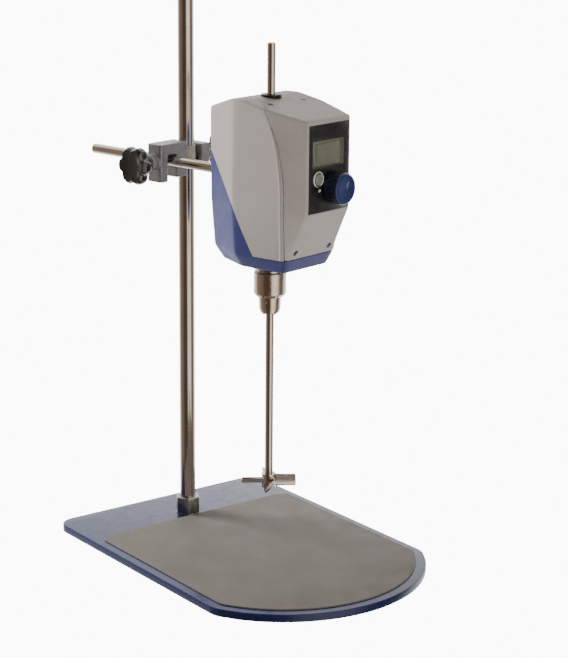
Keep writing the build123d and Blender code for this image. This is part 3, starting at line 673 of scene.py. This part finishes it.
def seam_lip(side):
    """A raised bead on the side cover beside the seam: across it the lift is 1.5 f sin(pi u)^0.6 - 0.02, where f
    falls from 1 to 0.3 towards the top. Its underside lies just inside the wall."""
    z = np.linspace(BAND_TOP + 1.0, 58.0, 140)
    u = np.linspace(0, 1, 11)
    zz, uu = np.meshgrid(z, u, indexing="ij")
    fade = np.clip((60.0 - zz) / 45.0, 0, 1) ** 0.8
    yy = seam_line(zz) + 0.3 + uu * (2.0 + 2.6 * fade)
    start = np.stack([np.zeros_like(zz), yy, zz], -1)
    on_skin = reached(start, np.broadcast_to((1.0, 0.0, 0.0), start.shape), 60.0)
    over = skin_out(on_skin, 1.5 * np.sin(math.pi * uu) ** 0.6 * (0.3 + 0.7 * fade) - 0.02)
    under = skin_out(on_skin, np.full(uu.shape, -0.8))[:, ::-1]
    points = np.concatenate([over, under], 1)
    points[..., 0] *= side
    rows, columns = points.shape[:2]
    faces = [tuple(f) for f in grid_faces(rows, columns)]
    faces.append(tuple(range(columns)))
    faces.append(tuple(range((rows - 1) * columns, rows * columns)))
    name = "side_cover_lip_" + ("right" if side > 0 else "left")
    thing = piece(name, to_row(points, HEAD), faces, "head", None, finish_of("side_cover"), sharp=50)


def make_covers():
    skin = head_skin()
    shell("front_shell", skin, lambda p: ahead_of_seam(p) + SEAM_GAP, "front_cover")
    shell("side_shell", skin, lambda p: np.maximum(-ahead_of_seam(p), -below_split(p)), "side_cover")
    shell("base_shell", skin, lambda p: below_split(p) + SEAM_GAP, "base_housing")
    seam_lip(-1)
    seam_lip(1)


# --- drive head: panel, knob and fittings -------------------------------------------------------------
KNOB_AT = (5.2, -0.8)
RIBS = 24


def on_panel(x, z, out=0.0):
    """Frame on the panel's face, looking at the operator."""
    return facing(HEAD, (x, PANEL_FACE - out, z), (0, -1, 0))


def make_speed_knob():
    """Ribbed skirt and a slightly domed cap with a finger dimple off its middle."""

    def ribbed(a, r, h):
        side = np.clip((r - 12.5) / 2.0, 0, 1) * np.clip((13.9 - h) / 1.2, 0, 1) * np.clip((h - 0.6) / 0.6, 0, 1)
        return r + 0.6 * side * (0.5 + 0.5 * np.cos(RIBS * a)) ** 0.7

    skirt = [(0, 0.0), (14.4, 0.0), (14.9, 0.6), (14.9, 13.6), (14.3, 14.9), (12.9, 15.6)]
    cap = [(r, 15.6 - 0.5 * math.cos(r / 12.9 * math.pi / 2) ** 2) for r in np.linspace(12.4, 0.0, 24)]
    where = on_panel(*KNOB_AT, out=0.8)
    knob = lathe("speed_knob_turned", eased(skirt, 0.7).tolist() + cap, where, "speed_knob", "speed_knob",
                 finish_of("speed_knob"), turns=288, swell=ribbed)
    mesh = knob.data
    count = len(mesh.vertices)
    flat = np.empty(count * 3)
    mesh.vertices.foreach_get("co", flat)
    points = flat.reshape(-1, 3)
    offset = (points - where[0]) @ where[1].T / MM
    near = np.exp(-((offset[:, 0] - 5.5) ** 2 + (offset[:, 1] - 3.0) ** 2) / 9.0) * (offset[:, 2] > 14.0)
    points = points - near[:, None] * where[1][2] * 1.1 * MM
    mesh.vertices.foreach_set("co", points.ravel())
    mesh.update()


def make_panel():
    eased_copy("front_panel", "head", finish_of("front_panel"), 0.35)
    eased_copy("display_window", "head", finish_of("display_window"), 0.25)
    button = eased([(0, -4.5), (2.0, -4.5), (2.0, -1.0), (5.4, -1.0), (5.4, 1.4), (4.6, 1.9), (0, 1.5)], 0.5)
    where = on_panel(-15.4, 9.0)
    lathe("start_button_cap", button, where, "start_button", "start_button", finish_of("start_button"))
    ring = eased([(5.75, -0.2), (5.75, 0.5), (6.4, 1.0), (7.2, 0.7), (7.6, -0.2)], 0.3, closed=True)
    lathe("button_ring", ring, where, "head", "button_bezel", finish_of("button_bezel"), closed=True)
    lens = eased([(0, -2.6), (1.5, -2.6), (1.5, 0.1), (1.1, 0.5), (0, 0.55)], 0.25)
    lathe("led_dome", lens, on_panel(-13.4, -1.6), "head", "led_lens", finish_of("led_lens"), turns=40)
    make_speed_knob()


def make_fittings():
    on_top = facing(HEAD, (0, 0, TOP_Z), (0, 0, 1))
    guard = eased([(4.5, -3.0), (9.3, -3.0), (9.3, 0.2), (10.2, 0.2), (9.8, 1.8), (4.5, 1.8)], 0.6, closed=True)
    lathe("guard_ring", guard, on_top, "head", "shaft_guard_ring", finish_of("shaft_guard_ring"), closed=True)
    collar = eased([(8.2, -88.5), (16.5, -88.5), (19.5, -82.0), (19.5, -77.0), (8.2, -77.0)], 0.8, closed=True)
    lathe("collar_turned", collar, HEAD, "head", "bearing_collar", finish_of("bearing_collar"), closed=True)
    for node, edge in (("cover_screws", 0.25), ("mains_inlet", 0.5), ("switch_frame", 0.4), ("power_rocker", 0.4)):
        eased_copy(node, body_of(node), finish_of(node), edge)


# --- clamp --------------------------------------------------------------------------------------------
CASTING_CELL = 0.7
CASTING_PASSES = 5
PAD_R = 4.3     # 0.3 mm slimmer than in the CAD
HOLLOWS = 6
HOLLOW_DEEP = 3.1


def make_casting():
    """The boss head as it leaves the foundry: its CAD form refaced in small cells and relaxed, so that outer
    edges are rounded and inner corners filled. Its bores come out a little narrower than in the CAD."""
    mesh = frame["nodes"]["boss_head"].data.copy()
    mesh.materials.clear()
    work = bmesh.new()
    work.from_mesh(mesh)
    bmesh.ops.remove_doubles(work, verts=work.verts, dist=2e-6)
    work.to_mesh(mesh)
    work.free()
    thing = bpy.data.objects.new("boss_head_casting", mesh)
    bpy.context.scene.collection.objects.link(thing)
    mesh.materials.append(finish_of("boss_head"))
    cells = thing.modifiers.new("cells", "REMESH")
    cells.mode = "VOXEL"
    cells.voxel_size = CASTING_CELL * MM
    ease = thing.modifiers.new("ease", "SMOOTH")
    ease.factor = 0.5
    ease.iterations = CASTING_PASSES
    settled(thing, 80.0)
    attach(thing, "boss_head")
    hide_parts("boss_head")


def make_clamp_knob(name, node, body, start, towards):
    """Scalloped knob with a thick rounded rim and a shallow dished face. Its hollows are
    r - 3.1 w (0.5 - 0.5 cos 6a)^2.2, where w rises from 0 at a radius of 9 mm to 1 at 18 mm."""

    def scalloped(a, r, h):
        rim = np.clip((r - 9.0) / 9.0, 0, 1)
        return r - HOLLOW_DEEP * rim * (0.5 - 0.5 * np.cos(HOLLOWS * a)) ** 2.2

    dish = [(r, 12.0 - 1.6 * (1 - (r / 15.0) ** 2)) for r in np.linspace(14.5, 0.0, 16)]
    body_line = [(0, -5.0), (9.0, -5.0), (9.4, -0.6), (12.0, 0.0)]
    body_line += [(17.4, 0.4), (19.5, 3.0), (19.5, 9.2), (17.2, 12.0)]
    profile = eased(body_line, 1.7, steps=5).tolist() + dish
    where = facing(CLAMP, (start, 0, 0), (towards, 0, 0))
    lathe(name, profile, where, body, node, MATERIALS["knob_black"], turns=216, swell=scalloped)


def bar(node, radius, ends, where, body, finish, chamfer=0.8):
    """Round bar with broken ends."""
    low, high = ends
    line = [(0, low), (radius - chamfer, low), (radius, low + chamfer), (radius, high - chamfer)]
    line += [(radius - chamfer, high), (0, high)]
    lathe(f"{node}_turned", eased(line, 0.35, steps=3), where, body, node, finish, turns=72)


def extent_mm(node, where):
    """Lowest and highest reach of a CAD node along a frame's z, in millimetres."""
    flat = np.empty(len(frame["nodes"][node].data.vertices) * 3)
    frame["nodes"][node].data.vertices.foreach_get("co", flat)
    along = (flat.reshape(-1, 3) - where[0]) @ where[1][2] / MM
    return float(along.min()), float(along.max())


def make_clamp():
    make_casting()
    rod = facing(CLAMP, (-28.0, 0, 0), (0, 1, 0))
    bar("support_rod", 5.0, extent_mm("support_rod", rod), rod, "support_rod", POLISHED_LEVEL)
    make_clamp_knob("rod_knob_moulded", "rod_knob", "rod_screw", -66.0, -1)
    make_clamp_knob("post_knob_moulded", "post_knob", "post_screw", 46.0, 1)
    for node, towards in (("rod_pad", -1), ("post_pad", 1)):
        pad = facing(CLAMP, (0, 0, 0), (towards, 0, 0))
        bar(node, PAD_R, extent_mm(node, pad), pad, node, finish_of(node), chamfer=0.4)
    for node in ("rod_screw", "post_screw"):
        eased_copy(node, body_of(node), finish_of(node), 0.3)


# --- stand --------------------------------------------------------------------------------------------
PLATE_HALF = 128.0
PLATE_BACK = 160.0
PLATE_FRONT = -202.0
FRONT_ARC_R = 145.0
CORNER_R = 18.0
MAT_INSET = 10.0
MAT_BACK = 91.0


def corner_arc(corner, before, after, radius, steps=14):
    """Arc of a given radius that touches both sides of a corner."""
    corner = np.array(corner, float)
    back = np.array(before, float) - corner
    on = np.array(after, float) - corner
    back /= np.linalg.norm(back)
    on /= np.linalg.norm(on)
    half = math.acos(np.clip(back @ on, -1, 1)) / 2
    centre = corner + (back + on) / np.linalg.norm(back + on) * radius / math.sin(half)
    first = corner + back * radius / math.tan(half) - centre
    last = corner + on * radius / math.tan(half) - centre
    a0, a1 = math.atan2(first[1], first[0]), math.atan2(last[1], last[0])
    turn = (a1 - a0 + math.pi) % (2 * math.pi) - math.pi
    a = a0 + turn * np.linspace(0, 1, steps)
    return centre + radius * np.stack([np.cos(a), np.sin(a)], 1)


def plate_outline(inset, back):
    """Straight back and sides, rounded corners, and a front bowed on one large arc; anticlockwise."""
    half = PLATE_HALF - inset
    arc_r = FRONT_ARC_R - inset
    front = PLATE_FRONT + inset
    centre_y = front + arc_r
    side_end = centre_y - math.sqrt(arc_r**2 - half**2)
    radius = CORNER_R - inset / 2
    reach = math.atan2(half, centre_y - side_end)
    soft = 0.16
    angle = np.linspace(-reach + soft, reach - soft, 72)
    bow = np.stack([arc_r * np.sin(angle), centre_y - arc_r * np.cos(angle)], 1)
    right = eased([bow[-1], (half, side_end), (half, side_end + radius)], 60.0, steps=14)
    rear_right = corner_arc((half, back), (half, 0), (0, back), radius)
    mirrored = [np.flip(run * (-1, 1), 0) for run in (rear_right, right)]
    return np.concatenate([bow, right[1:], rear_right, mirrored[0], mirrored[1][:-1]])


def make_stand():
    low, high = (corner.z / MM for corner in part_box("base_plate"))
    slab("plate_coated", plate_outline(0.0, PLATE_BACK), low, high, 1.3, ROW, "stand", "base_plate",
         finish_of("base_plate"))
    low, high = (corner.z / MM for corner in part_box("base_mat"))
    slab("mat_sheet", plate_outline(MAT_INSET, MAT_BACK), low, high, 0.5, ROW, "stand", "base_mat",
         finish_of("base_mat"))
    foot = facing(ROW, np.array(JOINTS["clamp_swivel"]["pos_m"]) * (1000, 1000, 0), (0, 0, 1))
    bar("post", 8.0, extent_mm("post", foot), foot, "stand", finish_of("post"))
    cap_low, cap_high = extent_mm("post_cap", foot)
    cap = [(0, cap_low), (5.4, cap_low), (5.4, cap_high - 2.0), (7.8, cap_high - 2.0), (7.8, cap_high - 0.7)]
    lathe("post_cap_moulded", eased(cap + [(6.6, cap_high), (0, cap_high)], 0.6), foot, "stand", "post_cap",
          finish_of("post_cap"))
    for node, edge in (("post_nut", 0.6), ("post_washer", 0.3), ("plate_feet", 0.5), ("post_bolt", 0.4)):
        eased_copy(node, "stand", finish_of(node), edge)


# --- chuck, shaft and propeller -----------------------------------------------------------------------
LOBES = 26      # the CAD has 24 notches here
LOBE_DEEP = 0.5


def make_chuck():
    """Sleeve, body, shaft and propeller. The sleeve's lower edge is waved by 0.5 w (0.5 + 0.5 cos 26a)^0.6, and
    w fades in over its last 2.5 mm and its outer 2 mm."""

    def toothed(a, r, h):
        lower = np.clip((-112.2 - h) / 2.5, 0, 1) * np.clip((r - 12.0) / 2.0, 0, 1)
        return r - LOBE_DEEP * lower * (0.5 + 0.5 * np.cos(LOBES * a)) ** 0.6

    sleeve = [(10.9, -116.0), (13.2, -116.0), (15.6, -112.8), (15.6, -92.2), (14.6, -91.2), (10.9, -91.2)]
    lathe("chuck_sleeve_turned", eased(sleeve, 0.5, steps=5, closed=True), HEAD, "chuck_sleeve", "chuck_sleeve",
          finish_of("chuck_sleeve"), turns=312, closed=True, swell=toothed)
    eased_copy("chuck_body", "spindle", finish_of("chuck_body"), 0.3)
    bar("stirring_shaft", 4.0, extent_mm("stirring_shaft", HEAD), HEAD, "stirring_shaft",
        finish_of("stirring_shaft"), chamfer=0.6)
    for node, edge in (("propeller", 0.45), ("propeller_screw", 0.2)):
        eased_copy(node, "stirring_shaft", finish_of(node), edge)


# --- floor, light and camera --------------------------------------------------------------------------
CAMERA_AT = Vector((-1.1094, -1.5140, 0.7298))
CAMERA_LOOK = Vector((0.5610, 0.7872, -0.2562))
CAMERA_LENS = 107.5
CAMERA_SHIFT = 0.095
WHITE = 11.0
SHINE = 2.0
TO_CAMERA = 126.9     # added to a bearing, it makes the camera's own about 0


def make_floor():
    """Plain pale floor, wide enough to fill the view."""
    mesh = bpy.data.meshes.new("floor")
    reach = 14.0
    corners = [(-reach, -reach, 0), (reach, -reach, 0), (reach, reach, 0), (-reach, reach, 0)]
    mesh.from_pydata(corners, [], [(0, 1, 2, 3)])
    floor = bpy.data.objects.new("floor", mesh)
    bpy.context.scene.collection.objects.link(floor)
    made, tree, shader, where = started("studio_floor", Roughness=0.9, Specular_IOR_Level=0.1)
    mottled(tree, where, 900.0, "#f4f4f3", "#fbfbfb", shader, "Base Color", detail=1.0)
    lit = add(tree, "Emission", {"Color": linear("#ffffff"), "Strength": WHITE})
    path = add(tree, "LightPath")
    seen = path.outputs["Is Camera Ray"]
    both = add(tree, "MixShader", {}, {0: seen, 1: shader.outputs[0], 2: lit.outputs[0]})
    tree.links.new(both.outputs[0], tree.nodes["Material Output"].inputs["Surface"])
    mesh.materials.append(made)
    floor.visible_glossy = False


def make_world():
    """A studio laid out by bearing: bright walls behind the object, a dim room ahead of it, and a bright stretch
    beside that. Overhead it is dimmer, but only for diffuse light. The camera sees plain white."""
    world = bpy.data.worlds.new("studio")
    bpy.context.scene.world = world
    world.use_nodes = True
    tree = world.node_tree
    back = tree.nodes["Background"]
    where = add(tree, "TexCoord").outputs["Generated"]
    apart = add(tree, "SeparateXYZ", {}, {"Vector": where})
    bearing = add(tree, "Math", {"operation": "ARCTAN2"}, {0: apart.outputs["Y"], 1: apart.outputs["X"]})
    turned = add(tree, "Math", {"operation": "ADD", 1: math.radians(TO_CAMERA)}, {0: bearing.outputs[0]})
    full = add(tree, "Math", {"operation": "MULTIPLY_ADD", 1: 1 / (2 * math.pi), 2: 0.5}, {0: turned.outputs[0]})
    share = add(tree, "Math", {"operation": "FRACT"}, {0: full.outputs[0]})
    ramp = add(tree, "ValToRGB", {}, {"Fac": share.outputs[0]})
    stops = (
        (-180, "#ffffff"), (-150, "#ffffff"), (-128, "#f6f0ea"), (-104, "#786d64"), (-56, "#63584e"),
        (-36, "#463930"), (4, "#43372f"), (20, "#e9dfd5"), (50, "#f4eee8"), (72, "#6a6058"),
        (104, "#5f554d"), (124, "#ffffff"), (180, "#ffffff"),
    )
    elements = ramp.color_ramp.elements
    while len(elements) < len(stops):
        elements.new(1.0)
    for element, (degrees, colour) in zip(elements, stops):
        element.position = (degrees + 180) / 360
        element.color = linear(colour)
    overhead = add(tree, "MapRange", {"From Min": 0.45, "From Max": 0.85}, {"Value": apart.outputs["Z"]})
    path = add(tree, "LightPath")
    above = {0: overhead.outputs["Result"], 1: path.outputs["Is Diffuse Ray"]}
    dimmed = add(tree, "Math", {"operation": "MULTIPLY"}, above)
    mix = add(tree, "Mix", {"data_type": "RGBA"}, {"Factor": dimmed.outputs[0], 6: ramp.outputs["Color"]})
    mix.inputs[7].default_value = linear("#8b8681")
    tree.links.new(mix.outputs[2], back.inputs["Color"])
    gain = {"operation": "MULTIPLY_ADD", 1: SHINE - 1.0, 2: 1.0}
    shine = add(tree, "Math", gain, {0: path.outputs["Is Glossy Ray"]})
    tree.links.new(shine.outputs[0], back.inputs["Strength"])
    seen = add(tree, "Background", {"Color": linear("#ffffff"), "Strength": WHITE})
    both = add(tree, "MixShader", {}, {0: path.outputs["Is Camera Ray"], 1: back.outputs[0], 2: seen.outputs[0]})
    tree.links.new(both.outputs[0], tree.nodes["World Output"].inputs["Surface"])


def area_light(name, at, aim, size, power, colour="#ffffff"):
    """Soft square light at a point, turned to another."""
    data = bpy.data.lights.new(name, "AREA")
    data.size = size
    data.energy = power
    data.color = linear(colour)[:3]
    lamp = bpy.data.objects.new(name, data)
    lamp.location = at
    lamp.rotation_euler = (Vector(aim) - Vector(at)).to_track_quat("-Z", "Y").to_euler()
    lamp.visible_glossy = False
    bpy.context.scene.collection.objects.link(lamp)


def make_camera():
    data = bpy.data.cameras.new("camera")
    data.lens = CAMERA_LENS
    data.shift_x = CAMERA_SHIFT
    camera = bpy.data.objects.new("camera", data)
    camera.location = CAMERA_AT
    camera.rotation_euler = CAMERA_LOOK.to_track_quat("-Z", "Y").to_euler()
    bpy.context.scene.collection.objects.link(camera)
    bpy.context.scene.camera = camera


make_camera()
make_covers()
make_panel()
make_fittings()
make_clamp()
make_stand()
make_chuck()
make_floor()
make_world()
area_light("back_left", (-0.95, 1.75, 0.75), (0, 0, 0.4), 0.9, 68.0)
area_light("low_front", (0.2, -1.6, 0.10), (0, 0, 0.4), 0.5, 6.0)
